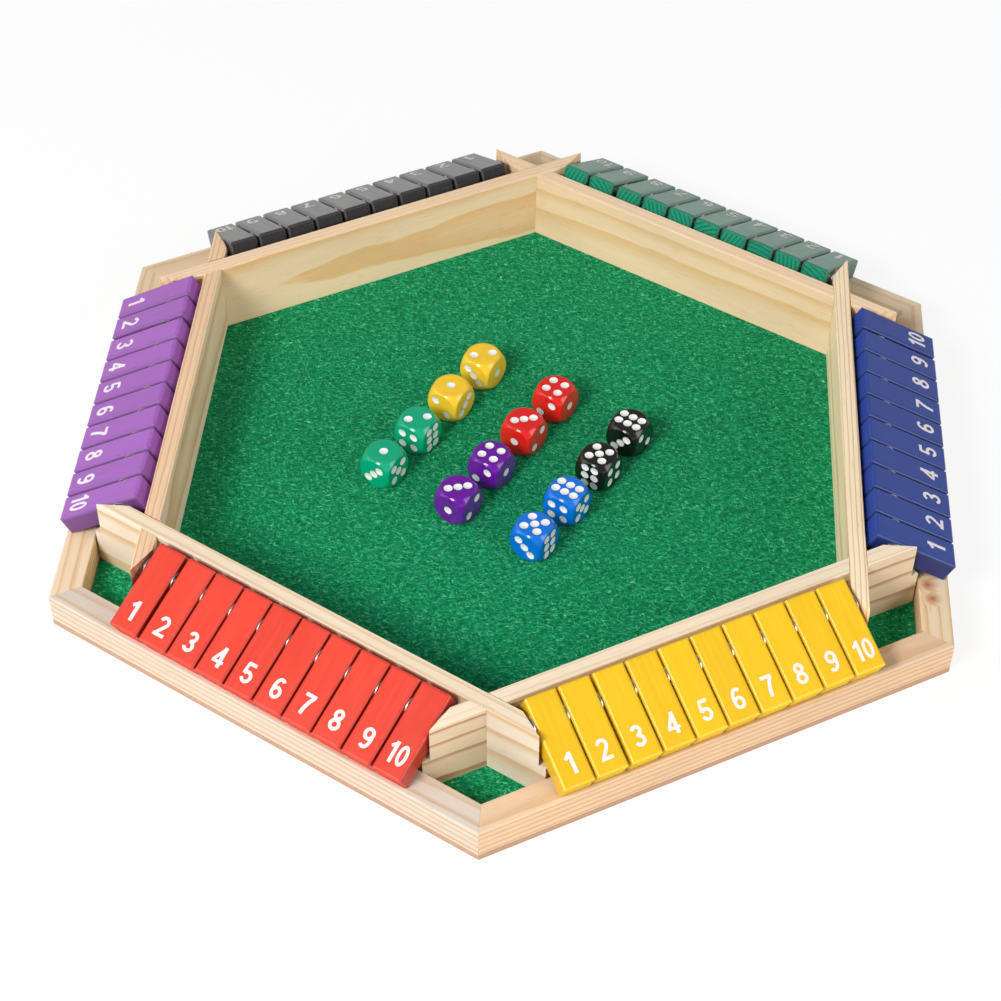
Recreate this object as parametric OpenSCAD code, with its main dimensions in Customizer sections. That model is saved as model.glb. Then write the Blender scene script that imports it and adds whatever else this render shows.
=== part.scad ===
// Six-player shut the box board: a hexagonal tray of pine on a thin base panel,
// lined with felt, with a hinged row of ten numbered tiles along each side.
//
// Lengths are in millimetres, +Z is up, and the origin is the centre of the
// base panel's underside.  Side 0 faces front right, and the sides go round
// anticlockwise as seen from above.  Each side is drawn in its own frame, with
// +X pointing out of the board and +Y running to the right hand of a player
// who sits outside that side, and is then turned into place.

/* [Base panel and felt] */
// Thickness of the base panel
panel_t = 3; // [2:0.1:6]
// Thickness of the felt mat
felt_t = 0.6; // [0.4:0.1:1.5]
// Gap between the edge of the felt and the rim rails
felt_gap = 0.4; // [0.1:0.1:1.5]

/* [Rim rails] */
// Width of a rail, seen from above
rail_w = 13; // [10:0.5:18]
// Height of a rail above the base panel
rail_h = 13.6; // [10:0.1:18]
// Radius of the eased upper edges of a rail
rail_ease = 0.8; // [0.3:0.1:2]
// Gap in a mitre joint between two rails
mitre_gap = 0.05; // [0.02:0.01:0.2]

/* [Inner walls] */
// Thickness of a wall board
wall_t = 7.4; // [6:0.1:10]
// Height of a wall board above the felt
wall_h = 35.7; // [33:0.1:44]
// Radius of the eased upper edges of a wall board
wall_ease = 0.5; // [0.2:0.1:1.2]
// From the outer face of a wall to the outer face of the rim
row_depth = 37.9; // [36.5:0.1:44]
// From the sharp end of a wall's upper part to the rail behind it
tip_gap = 3.45; // [2:0.05:6]
// From the foot of a wall's end to the rail behind it
foot_gap = 0.6; // [0.2:0.1:1.5]
// Clearance between the foot of a wall's end and the end tile above it
foot_clear = 0.7; // [0.4:0.1:2]
// Clearance on each side of the half laps at the corners
lap_fit = 0.1; // [0.05:0.05:0.3]

/* [Tiles] */
// Width of a tile, along its rod
tile_w = 14; // [12:0.1:18]
// Thickness of a tile
tile_t = 10.1; // [8:0.1:12]
// Radius of a tile's softened edges
tile_ease = 1.2; // [0.5:0.1:2]
// Radius of the rounder edges of the green, black and purple tiles
round_ease = 1.8; // [0.5:0.1:2.5]
// Gap between two tiles
tile_gap = 0.8; // [0.7:0.1:1.6]
// Gap between the last tile and the end plate of its row, before a row slides
end_gap = 2.1; // [1.9:0.05:3]
// From the outer end of a resting tile to the rim's outer face
tile_inset = 1.5; // [0.5:0.1:4]
// Gap under a tile's outer end at rest
rest_gap = 0.3; // [0.2:0.05:0.6]
// Gap between a turning tile's heel and the wall
swing_gap = 0.3; // [0.3:0.1:1]
// The farthest that a loose tile has slid along its rod
row_slide = 1.2; // [0:0.05:1.2]

/* [Rods and washers] */
// Diameter of a pivot rod
rod_d = 3; // [2:0.1:4]
// From the outer face of a wall to the middle of the rod
rod_off = 11.8; // [10.5:0.1:13]
// From the top of a wall down to the middle of the rod
rod_drop = 5.5; // [5:0.1:8]
// Depth to which a rod's end is let into an end plate
rod_seat = 3.5; // [2:0.1:4]
// Radial clearance between a rod and its holes
rod_fit = 0.08; // [0.03:0.01:0.1]
// Outer diameter of a spacer washer
washer_d = 9; // [7:0.1:9.6]
// Thickness of a spacer washer
washer_t = 0.5; // [0.3:0.1:0.5]
// Radial clearance between a washer and its rod
washer_fit = 0.1; // [0.05:0.05:0.3]

/* [Dice] */
// Width of a die from face to face
die_w = 16; // [12:0.5:19]
// Diameter of the ball that rounds off a die's edges and corners
die_ball = 22.1; // [17:0.1:30]
// Diameter of a pip
pip_d = 4.1; // [2:0.1:4.2]
// Depth of a pip
pip_depth = 0.5; // [0.2:0.1:1]
// Distance between neighbouring dice of one line, centre to centre
dice_step = 26.5; // [24:0.5:34]
// Distance between the lines of dice, centre to centre
line_step = 40.6; // [24:0.1:50]
// From the middle of the board to the first die of a line, along the line
dice_first = 38; // [36:0.5:42]
// From the middle of the board across to the middle line of dice
dice_aside = -2.5; // [-4:0.5:4]

/* [Screws] */
// Shank diameter of a base screw
screw_d = 3; // [2:0.1:4]
// Head diameter of a base screw
screw_head_d = 6; // [4:0.1:8]
// Length of a base screw with its head
screw_len = 12; // [8:0.5:15]
// Radial clearance around a base screw
screw_fit = 0.05; // [0.02:0.01:0.1]
// From the middle of a rail to each of its screws
rail_screw_at = 70; // [40:1:90]
// From the middle of a wall to each of its screws
wall_screw_at = 45; // [20:1:60]

/* [Hidden] */
$fn = 48;
tiles_n = 10;
tile_pitch = tile_w + tile_gap;
// half of the clear width between the end plates of a row
row_half = (tiles_n * tile_w + (tiles_n - 1) * tile_gap) / 2 + end_gap;
// from the middle of the board to the walls' outer and inner faces
wall_out = sqrt(3) * row_half + row_depth - rail_w - tip_gap;
wall_in = wall_out - wall_t;
// from the middle of the board to the rails' outer and inner faces
rim_out = wall_out + row_depth;
rim_in = rim_out - rail_w;
felt_top = panel_t + felt_t;
rail_top = panel_t + rail_h;
wall_top = felt_top + wall_h;
rod_x = wall_out + rod_off;
rod_z = wall_top - rod_drop;
// half the thickness of a tile inside its softened edges
edge_in = tile_t / 2 - tile_ease;
// the heel is the short end of a tile: turning about the rod, its softened edge
// sweeps a circle of radius swing_r that just clears the wall
swing_r = rod_off - swing_gap;
tile_heel = tile_ease + sqrt(pow(swing_r - tile_ease, 2) - edge_in * edge_in);
// the resting tile: its outer lower edge, a quarter round of radius tile_ease,
// comes down on the rim, and that fixes its reach from the rod and its slope
rest_x = rim_out - tile_inset - tile_ease - rod_x;
rest_z = rod_z - rail_top - rest_gap - tile_ease;
edge_reach = sqrt(rest_x * rest_x + rest_z * rest_z - edge_in * edge_in);
tile_reach = edge_reach + tile_ease;
tile_slope = atan2(rest_z, rest_x) - atan2(edge_in, edge_reach);
// height of the wall's foot, under the end tile's lowest reach
under_rail = rod_z - (rim_in - rod_x) * tan(tile_slope) - tile_t / 2 / cos(tile_slope);
foot_top = min(under_rail, rod_z - swing_r) - foot_clear;
// half length of a wall: its corner stops short of the next side's rail
wall_half = (rim_in - foot_gap - wall_out / 2) / sin(60);
lap_z = felt_top + wall_h / 2;
// height at which a loose die hovers over the felt
die_fit = 0.05;
far = 2 * rim_out;
pine = [0.93, 0.85, 0.70];
steel = [0.78, 0.79, 0.81];

// ---- helpers ---------------------------------------------------------------

// Turns a side's own frame to its place: side 0 faces front right.
module at_side(k) rotate([0, 0, -60 + 60 * k]) children();

// A flat regular hexagon that measures 2 a across its flats, one flat facing +X.
module hexagon(a) circle(r = a / cos(30), $fn = 6);
module hexagon_plate(a, h) rotate([0, 0, 30]) linear_extrude(height = h) hexagon(a);

// A rectangle from lo to hi with all four corners rounded to radius r.
module soft_rect(lo, hi, r) {
    translate([lo[0] + r, lo[1]]) square([hi[0] - lo[0] - 2 * r, hi[1] - lo[1]]);
    translate([lo[0], lo[1] + r]) square([hi[0] - lo[0], hi[1] - lo[1] - 2 * r]);
    for (x = [lo[0] + r, hi[0] - r], y = [lo[1] + r, hi[1] - r])
        translate([x, y]) circle(r = r);
}

// The end section of a board w wide and h high whose two upper edges are eased.
module board_section(w, h, r) {
    translate([-w / 2, 0]) square([w, h - r]);
    translate([-w / 2 + r, 0]) square([w - 2 * r, h]);
    for (s = [-1, 1]) translate([s * (w / 2 - r), h - r]) circle(r = r);
}

// A board along Y with that section, standing on z = 0 about x = 0.
module board(w, h, r, len) {
    rotate([90, 0, 0]) translate([0, 0, -len / 2])
        linear_extrude(height = len) board_section(w, h, r);
}

// A bar of diameter d along Y, of length len, about the middle of a row's rod.
module on_rod(d, len) {
    translate([rod_x, 0, rod_z]) rotate([90, 0, 0]) cylinder(d = d, h = len, center = true);
}

// A countersunk screw pointing up from z = 0, grown all round by fit.
module screw_body(fit) {
    cone_h = (screw_head_d - screw_d) / 2;
    union() {
        translate([0, 0, -fit]) cylinder(d = screw_d + 2 * fit, h = screw_len - 1.5 + fit);
        translate([0, 0, -fit]) cylinder(d = screw_head_d + 2 * fit, h = 0.3 + fit);
        translate([0, 0, 0.3])
            cylinder(d1 = screw_head_d + 2 * fit, d2 = screw_d + 2 * fit, h = cone_h);
        translate([0, 0, screw_len - 1.5])
            cylinder(d1 = screw_d + 2 * fit, d2 = 0.6 + 2 * fit, h = 1.5);
    }
}

// The places of the base screws in the frame of side k.
module at_rail_screws(k) at_side(k)
    for (s = [-1, 1]) translate([rim_out - rail_w / 2, s * rail_screw_at, 0]) children();
module at_wall_screws(k) at_side(k)
    for (s = [-1, 1]) translate([wall_out - wall_t / 2, s * wall_screw_at, 0]) children();

// ---- base ------------------------------------------------------------------

// The thin panel under the whole board, drilled and countersunk for its screws.
module base_panel() {
    color([0.60, 0.45, 0.34])
    difference() {
        hexagon_plate(rim_out, panel_t);
        for (k = [0 : 5]) {
            at_rail_screws(k) screw_body(screw_fit);
            at_wall_screws(k) screw_body(screw_fit);
        }
    }
}

// One sheet of felt fills the rim: the tray, the corner pockets and the floor
// under the tiles.  The walls stand on it and are screwed down through it.
module felt_mat() {
    color([0.05, 0.42, 0.22])
    difference() {
        translate([0, 0, panel_t]) hexagon_plate(rim_in - felt_gap, felt_t);
        for (k = [0 : 5]) at_wall_screws(k) screw_body(screw_fit);
    }
}

// One rail of the rim, mitred at 60 degrees at both ends.  The wedge that cuts
// the mitres stands mitre_gap off the middle of the board, so neighbouring rails
// end that far apart.
module rim_rail() {
    difference() {
        intersection() {
            translate([rim_out - rail_w / 2, 0, panel_t])
                board(rail_w, rail_h, rail_ease, far);
            linear_extrude(height = far)
                translate([mitre_gap, 0])
                    polygon([[0, 0], [far * cos(30), -far / 2], [far * cos(30), far / 2]]);
        }
        for (s = [-1, 1])
            translate([rim_out - rail_w / 2, s * rail_screw_at, 0]) screw_body(screw_fit);
    }
}

module rim_rails() {
    color(pine) for (k = [0 : 5]) at_side(k) rim_rail();
}

// ---- inner walls -----------------------------------------------------------

// The room that the tiles of a side need, above its foot_top: the upper parts of
// the neighbouring walls' ends are cut away to it, square to that row's rod.
module row_room() {
    translate([wall_out, -row_half, foot_top]) cube([far, 2 * row_half, far]);
}

// The slab of a wall board, long enough to cut its neighbours' half laps.
module lap_slab(z0, z1) {
    translate([wall_in - lap_fit, -far / 2, z0]) cube([wall_t + 2 * lap_fit, far, z1 - z0]);
}

// A wall runs on past both corners of the tray.  Its ends carry the rods of the
// two neighbouring rows, in blind holes square to those rods.  Where two walls
// cross they are halved into each other: an upper wall is notched from below,
// a lower wall from above.
module wall(upper) {
    difference() {
        translate([wall_in + wall_t / 2, 0, felt_top])
            board(wall_t, wall_h, wall_ease, 2 * wall_half);
        for (s = [-1, 1]) rotate([0, 0, 60 * s]) {
            row_room();
            if (upper) lap_slab(felt_top - 1, lap_z);
            else lap_slab(lap_z, wall_top + 1);
            on_rod(rod_d + 2 * rod_fit, 2 * (row_half + rod_seat));
        }
        for (s = [-1, 1])
            translate([wall_out - wall_t / 2, s * wall_screw_at, 0]) screw_body(screw_fit);
    }
}

module wall_yellow() { color(pine) at_side(0) wall(false); }
module wall_blue() { color(pine) at_side(1) wall(true); }
module wall_green() { color(pine) at_side(2) wall(false); }
module wall_black() { color(pine) at_side(3) wall(true); }
module wall_purple() { color(pine) at_side(4) wall(false); }
module wall_red() { color(pine) at_side(5) wall(true); }

// ---- rods, washers, screws -------------------------------------------------

// A rod's ends stop a little short of the bottoms of their holes.
module pivot_rods() {
    color(steel) for (k = [0 : 5]) at_side(k) on_rod(rod_d, 2 * (row_half + rod_seat) - 0.4);
}

// Eleven washers a row: one at the start, then one on the far side of each tile.
module spacer_washers() {
    color(steel) for (k = [0 : 5]) at_side(k) for (i = [0 : tiles_n])
        translate([0, (i - tiles_n / 2) * tile_pitch + slide(k, max(i, 1)), 0]) difference() {
            on_rod(washer_d, washer_t);
            on_rod(rod_d + 2 * washer_fit, washer_t + 2);
        }
}

// Countersunk screws with a crossed recess, up through the panel from below.
module base_screw() {
    difference() {
        screw_body(0);
        for (a = [0, 90]) rotate([0, 0, a]) cube([3, 0.8, 2.4], center = true);
    }
}

module base_screws() {
    color(steel) for (k = [0 : 5]) {
        at_rail_screws(k) base_screw();
        at_wall_screws(k) base_screw();
    }
}

// ---- tiles -----------------------------------------------------------------

// How far tile n of row k has slid along its rod.  Each loose row has one wider
// gap: [share of row_slide before it, last tile before it, share after it].
loose = [[-0.3, 2, 0.1], [0, 9, 0.6], [-0.4, 8, 0.6], [0.8, 4, 1], [-1, 2, -0.4], [0.2, 1, 0.8]];
function slide(k, n) = row_slide * (n <= loose[k][1] ? loose[k][0] : loose[k][2]);

// A tile about its rod: long face up, the number's end at +X, the heel at -X.
// Three extruded profiles, seen from the side, from the end and from above, each
// with corners softened to radius r, meet in one block rounded along every edge.
module tile_block(r) {
    lo = -tile_heel;
    hi = tile_reach;
    b = tile_t / 2;
    w = tile_w / 2;
    difference() {
        intersection() {
            rotate([90, 0, 0]) translate([0, 0, -w]) linear_extrude(height = tile_w)
                soft_rect([lo, -b], [hi, b], r);
            rotate([90, 0, 90]) translate([0, 0, lo - 1]) linear_extrude(height = hi - lo + 2)
                soft_rect([-w, -b], [w, b], r);
            translate([0, 0, -b - 1]) linear_extrude(height = tile_t + 2)
                soft_rect([lo, -w], [hi, w], r);
        }
        rotate([90, 0, 0]) cylinder(d = rod_d + 2 * rod_fit, h = tile_w + 2, center = true);
    }
}

// Tile number n of side k, lying on the rim.
module tile(k, n) {
    at_side(k) translate([rod_x, (n - (tiles_n + 1) / 2) * tile_pitch + slide(k, n), rod_z])
        rotate([0, tile_slope, 0]) tile_block(k > 1 && k < 5 ? round_ease : tile_ease);
}

module tile_yellow(n) { color([0.98, 0.78, 0.14]) tile(0, n); }
module tile_blue(n) { color([0.18, 0.25, 0.56]) tile(1, n); }
module tile_green(n) { color([0.10, 0.48, 0.37]) tile(2, n); }
module tile_black(n) { color([0.25, 0.24, 0.25]) tile(3, n); }
module tile_purple(n) { color([0.62, 0.40, 0.70]) tile(4, n); }
module tile_red(n) { color([0.95, 0.27, 0.20]) tile(5, n); }
module tiles_green() { for (n = [1 : tiles_n]) tile_green(n); }
module tiles_black() { for (n = [1 : tiles_n]) tile_black(n); }

// ---- dice ------------------------------------------------------------------

// Where the pips of face value n lie.  lean = 1 slants two and three pips up to
// the right, or stands the lines of six up; lean = -1 slants or lays them over.
function pip_places(n, lean) =
    let (d = 0.195 * die_w, c = 0.21 * die_w, p = 0.153 * die_w, q = 0.29 * die_w)
    n == 1 ? [[0, 0]] :
    n == 2 ? [[-d, -d * lean], [d, d * lean]] :
    n == 3 ? [[-d, -d * lean], [0, 0], [d, d * lean]] :
    n == 4 ? [for (x = [-d, d], y = [-d, d]) [x, y]] :
    n == 5 ? concat([[0, 0]], [for (x = [-c, c], y = [-c, c]) [x, y]]) :
    [for (s = [-p, p], t = [-q, 0, q]) lean > 0 ? [s, t] : [t, s]];

// The dished pips of one face, which looks along +Z.
module face_pips(n, lean) {
    ball = (pip_d * pip_d / 4 + pip_depth * pip_depth) / (2 * pip_depth);
    for (p = pip_places(n, lean))
        translate([p[0], p[1], die_w / 2 - pip_depth + ball]) sphere(r = ball);
}

// A die: a cube rounded off by a ball.  top, left and right are [value, lean] of
// the faces that look up, along -Y and along +X; opposite faces add up to seven.
module die(top, left, right) {
    difference() {
        intersection() {
            cube(die_w, center = true);
            sphere(d = die_ball);
        }
        face_pips(top[0], top[1]);
        rotate([90, 0, 0]) face_pips(left[0], left[1]);
        rotate([90, 0, 90]) face_pips(right[0], right[1]);
        rotate([180, 0, 0]) face_pips(7 - top[0], 1);
        rotate([90, 0, 180]) face_pips(7 - left[0], 1);
        rotate([90, 0, 270]) face_pips(7 - right[0], 1);
    }
}

// The dice lie in three lines of four, square to the red and green sides.
module at_die(line, place) {
    rotate([0, 0, -30])
        translate([(line - 1) * line_step + dice_aside, dice_first - place * dice_step,
                   felt_top + die_w / 2 + die_fit])
            children();
}

module dice_yellow() {
    color([1.0, 0.75, 0.07]) {
        at_die(0, 0) die([2, 1], [3, -1], [1, 1]);
        at_die(0, 1) die([1, 1], [2, -1], [3, 1]);
    }
}

module dice_green() {
    color([0.0, 0.70, 0.51]) {
        at_die(0, 2) die([2, 1], [4, 1], [6, 1]);
        at_die(0, 3) die([1, 1], [3, 1], [5, 1]);
    }
}

module dice_red() {
    color([0.88, 0.08, 0.08]) {
        at_die(1, 0) die([4, 1], [2, 1], [1, 1]);
        at_die(1, 1) die([3, 1], [1, 1], [2, 1]);
    }
}

module dice_purple() {
    color([0.48, 0.06, 0.66]) {
        at_die(1, 2) die([4, 1], [2, 1], [1, 1]);
        at_die(1, 3) die([3, 1], [1, 1], [2, 1]);
    }
}

module dice_black() {
    color([0.10, 0.10, 0.10]) {
        at_die(2, 0) die([6, -1], [3, 1], [2, -1]);
        at_die(2, 1) die([5, 1], [6, 1], [4, 1]);
    }
}

module dice_blue() {
    color([0.0, 0.45, 0.90]) {
        at_die(2, 2) die([6, -1], [4, 1], [5, 1]);
        at_die(2, 3) die([5, 1], [3, -1], [6, 1]);
    }
}

// ---- the part --------------------------------------------------------------

base_panel();
felt_mat();
rim_rails();
wall_yellow();
wall_blue();
wall_green();
wall_black();
wall_purple();
wall_red();
pivot_rods();
spacer_washers();
base_screws();
tile_yellow(1);  // tile_yellow_1
tile_yellow(2);  // tile_yellow_2
tile_yellow(3);  // tile_yellow_3
tile_yellow(4);  // tile_yellow_4
tile_yellow(5);  // tile_yellow_5
tile_yellow(6);  // tile_yellow_6
tile_yellow(7);  // tile_yellow_7
tile_yellow(8);  // tile_yellow_8
tile_yellow(9);  // tile_yellow_9
tile_yellow(10);  // tile_yellow_10
tile_blue(1);  // tile_blue_1
tile_blue(2);  // tile_blue_2
tile_blue(3);  // tile_blue_3
tile_blue(4);  // tile_blue_4
tile_blue(5);  // tile_blue_5
tile_blue(6);  // tile_blue_6
tile_blue(7);  // tile_blue_7
tile_blue(8);  // tile_blue_8
tile_blue(9);  // tile_blue_9
tile_blue(10);  // tile_blue_10
tile_purple(1);  // tile_purple_1
tile_purple(2);  // tile_purple_2
tile_purple(3);  // tile_purple_3
tile_purple(4);  // tile_purple_4
tile_purple(5);  // tile_purple_5
tile_purple(6);  // tile_purple_6
tile_purple(7);  // tile_purple_7
tile_purple(8);  // tile_purple_8
tile_purple(9);  // tile_purple_9
tile_purple(10);  // tile_purple_10
tile_red(1);  // tile_red_1
tile_red(2);  // tile_red_2
tile_red(3);  // tile_red_3
tile_red(4);  // tile_red_4
tile_red(5);  // tile_red_5
tile_red(6);  // tile_red_6
tile_red(7);  // tile_red_7
tile_red(8);  // tile_red_8
tile_red(9);  // tile_red_9
tile_red(10);  // tile_red_10
tiles_green();
tiles_black();
dice_yellow();
dice_green();
dice_red();
dice_purple();
dice_black();
dice_blue();
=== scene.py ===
# %% [markdown]
# # A six-player shut the box board
#
# The board is a hexagonal pine tray with a green cloth floor. Each side has a row of ten painted
# tiles on a steel rod, and twelve dice lie on the cloth. The shapes are already built as a frame of
# exact solids, so this notebook only dresses them: it paints the numbers and the spots, lays the
# cloth, gives every surface its finish, and sets up the light and the camera.

import math

import bpy
from mathutils import Matrix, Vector
import numpy as np


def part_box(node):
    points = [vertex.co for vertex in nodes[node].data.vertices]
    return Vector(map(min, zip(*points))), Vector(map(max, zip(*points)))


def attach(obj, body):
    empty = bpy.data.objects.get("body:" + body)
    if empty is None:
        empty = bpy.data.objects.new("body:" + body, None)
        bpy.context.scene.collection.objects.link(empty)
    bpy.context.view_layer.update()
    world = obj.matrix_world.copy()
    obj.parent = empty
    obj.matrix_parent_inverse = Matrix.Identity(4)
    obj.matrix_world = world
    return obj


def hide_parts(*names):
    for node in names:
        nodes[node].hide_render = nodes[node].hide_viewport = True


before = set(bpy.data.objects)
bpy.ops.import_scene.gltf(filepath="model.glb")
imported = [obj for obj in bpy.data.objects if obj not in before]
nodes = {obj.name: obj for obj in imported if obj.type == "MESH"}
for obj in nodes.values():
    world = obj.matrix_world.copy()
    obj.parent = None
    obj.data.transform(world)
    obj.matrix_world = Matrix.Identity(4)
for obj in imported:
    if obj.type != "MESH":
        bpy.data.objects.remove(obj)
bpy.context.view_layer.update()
print(len(nodes), "nodes in the frame")

# %% [markdown]
# The tile rows repeat round the hexagon. Side k looks outwards at -60 + 60 k degrees, and these few
# lengths say where its rod is and how its tiles lean on the rim. All are in metres.

# %% Where the rows are
SIDES = ["yellow", "blue", "green", "black", "purple", "red"]
ROD_OUT, ROD_UP = 0.164366, 0.0338
TILE_LEAN = math.radians(26.0065)
TILE_PITCH, TILE_WIDE, TILE_THICK = 0.0148, 0.014, 0.0101
TILE_REACH, TILE_HEEL = 0.0291146, 0.0107534  # from the rod to the outer and to the inner end
# the radius of the tiles' edges, in most rows and in the rows that are rounder
EASE_USUAL, TILE_EASE = 0.0012, {"green": 0.0018, "black": 0.0018, "purple": 0.0018}
# each row has one wider gap: how far the tiles before it have slid along the rod, the number of the
# last of them, and how far the tiles after it have slid
LOOSE = [
    (-0.00036, 2, 0.00012), (0, 9, 0.00072), (-0.00048, 8, 0.00072),
    (0.00096, 4, 0.0012), (-0.0012, 2, -0.00048), (0.00024, 1, 0.00096),
]


def side_angle(k):
    """The direction in which side k looks outwards, in radians."""
    return math.radians(-60 + 60 * k)


def tile_frame(k):
    """Side k's rod centre, and unit vectors along a tile outwards, across it and out of its face."""
    a = side_angle(k)
    out = np.array([math.cos(a), math.sin(a), 0])
    across = np.array([-math.sin(a), math.cos(a), 0])
    up = np.array([0, 0, 1.0])
    along = out * math.cos(TILE_LEAN) - up * math.sin(TILE_LEAN)
    face = out * math.sin(TILE_LEAN) + up * math.cos(TILE_LEAN)
    return out * ROD_OUT + up * ROD_UP, along, across, face


print("rod of the yellow row:", np.round(tile_frame(0)[0], 4))

# %% [markdown]
# ## The camera
#
# The picture is taken from the front and well above, with a long lens. The camera's place is worked
# out from the corners of the rim, and a small shift keeps the board where it is in the picture.

# %% The camera
CAMERA_TURN, CAMERA_RISE, CAMERA_ROLL = (math.radians(a) for a in (3.274, 45.953, 0.604))
CAMERA_AIM, CAMERA_FAR = np.array([0.00095, -0.03775, 0.0]), 0.99255

back = np.array([
    math.sin(CAMERA_TURN) * math.cos(CAMERA_RISE),
    -math.cos(CAMERA_TURN) * math.cos(CAMERA_RISE),
    math.sin(CAMERA_RISE),
])
level = np.array([math.cos(CAMERA_TURN), math.sin(CAMERA_TURN), 0])
upward = np.cross(back, level)
right = level * math.cos(CAMERA_ROLL) + upward * math.sin(CAMERA_ROLL)
above = upward * math.cos(CAMERA_ROLL) - level * math.sin(CAMERA_ROLL)


def placed_at(right, above, back, middle):
    """The matrix of something that looks against back, with its right and its upper side given."""
    place = np.eye(4)
    place[:3, 0], place[:3, 1], place[:3, 2], place[:3, 3] = right, above, back, middle
    return Matrix(place.tolist())


lens = bpy.data.cameras.new("camera")
lens.sensor_width, lens.lens = 36, 79.80
lens.shift_x, lens.shift_y = -0.01051, 0.02502
camera = bpy.data.objects.new("camera", lens)
camera.matrix_world = placed_at(right, above, back, CAMERA_AIM + back * CAMERA_FAR)
bpy.context.scene.collection.objects.link(camera)
bpy.context.scene.camera = camera
print("camera at", np.round(CAMERA_AIM + back * CAMERA_FAR, 3))

# %% [markdown]
# ## Helpers for materials
#
# Every finish is a small tree of shader nodes. These helpers add one node each, so that a material
# reads like a formula.


# %% Helpers for node trees
def add_node(tree, kind, inputs=None, **settings):
    """One shader node, its settings, and its inputs, each a plain value or another node's output."""
    made = tree.nodes.new("ShaderNode" + kind)
    for key, value in settings.items():
        setattr(made, key, value)
    for key, value in (inputs or {}).items():
        socket = made.inputs[key]
        if isinstance(value, bpy.types.NodeSocket):
            tree.links.new(value, socket)
        else:
            socket.default_value = value
    return made


def rgb(red, green, blue):
    """A screen colour of 0 to 255 a channel as the linear colour that a shader wants."""
    c = np.array([red, green, blue]) / 255
    lin = np.where(c <= 0.04045, c / 12.92, ((c + 0.055) / 1.055) ** 2.4)
    return (*[float(v) for v in lin], 1.0)


def new_material(name, **shader):
    """A material with one Principled shader, its constant inputs set by name."""
    made = bpy.data.materials.new(name)
    made.use_nodes = True
    tree = made.node_tree
    tree.nodes.clear()
    surface = add_node(tree, "BsdfPrincipled")
    for key, value in shader.items():
        surface.inputs[key.replace("_", " ")].default_value = value
    add_node(tree, "OutputMaterial", {"Surface": surface.outputs[0]})
    return made, tree, surface


def feed(tree, surface, **values):
    """Link node outputs to a shader's inputs by name."""
    for key, value in values.items():
        tree.links.new(value, surface.inputs[key.replace("_", " ")])


def dress(node, material):
    """Give a solid one material."""
    node.data.materials.clear()
    node.data.materials.append(material)


def math_node(tree, operation, a, b=0.0, c=0.0, clamp=False):
    """One step of arithmetic on shader values."""
    return add_node(tree, "Math", {0: a, 1: b, 2: c}, operation=operation, use_clamp=clamp).outputs[0]


def vector_node(tree, operation, a, b=(0, 0, 0), result=0):
    """One step of arithmetic on shader vectors; result is "Value" where it gives a number."""
    return add_node(tree, "VectorMath", {0: a, 1: b}, operation=operation).outputs[result]


def smooth(tree, value, start, stop, low=0.0, high=1.0):
    """A soft step: low where the value is at start, high where it is at stop."""
    inputs = {"Value": value, "From Min": start, "From Max": stop, "To Min": low, "To Max": high}
    return add_node(tree, "MapRange", inputs, interpolation_type="SMOOTHSTEP").outputs["Result"]


def object_spot(tree):
    """A point's object coordinates, in metres."""
    return add_node(tree, "TexCoord").outputs["Object"]


def apart(tree, vector):
    """The x, y and z of a shader vector."""
    return list(add_node(tree, "SeparateXYZ", {0: vector}).outputs)


def together(tree, x=0.0, y=0.0, z=0.0):
    """A shader vector of x, y and z."""
    return add_node(tree, "CombineXYZ", {0: x, 1: y, 2: z}).outputs[0]


def ramp(tree, value, stops, interpolation="LINEAR"):
    """Colours along a value: stops are (position, colour)."""
    made = add_node(tree, "ValToRGB", {"Fac": value})
    band = made.color_ramp
    band.interpolation = interpolation
    while len(band.elements) < len(stops):
        band.elements.new(0.5)
    for element, (position, colour) in zip(band.elements, stops):
        element.position, element.color = position, colour
    return made.outputs["Color"]


def mix(tree, factor, a, b, blend="MIX"):
    """Two colours mixed by a factor."""
    made = add_node(tree, "Mix", data_type="RGBA", blend_type=blend, clamp_result=False)
    for socket, value in ((0, factor), (6, a), (7, b)):
        if isinstance(value, bpy.types.NodeSocket):
            tree.links.new(value, made.inputs[socket])
        else:
            made.inputs[socket].default_value = value
    return made.outputs[2]


def dimmed(tree, colour, value):
    """A colour times a grey value."""
    return mix(tree, 1.0, colour, together(tree, value, value, value), "MULTIPLY")


def noise(tree, spot, stretch, detail=2.0, rough=0.5):
    """Soft noise of 0 to 1 whose grain is 1 / stretch metres along x, y and z."""
    scaled = add_node(tree, "Mapping", {"Vector": spot, "Scale": stretch}).outputs[0]
    inputs = {"Vector": scaled, "Scale": 1.0, "Detail": detail, "Roughness": rough}
    return add_node(tree, "TexNoise", inputs).outputs["Fac"]


def relief(tree, height, strength, distance, **more):
    """The surface's direction when a height of 0 to 1 raises it by up to distance metres."""
    inputs = {"Strength": strength, "Distance": distance, "Height": height, **more}
    return add_node(tree, "Bump", inputs).outputs[0]


print("helpers ready")

# %% [markdown]
# ## The floor and the light
#
# The board stands in a white studio. A soft lamp at the front left throws the gentle shadows in
# the tray, and two wide weak ones and the surroundings fill the rest. What the camera sees of the
# surroundings is white, and so is what a shiny surface mirrors of them near the horizon.

# %% Surroundings
FILL_LIGHT, MIRRORED_ABOVE, MIRRORED_BELOW = 0.25, 0.45, 0.10

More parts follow.
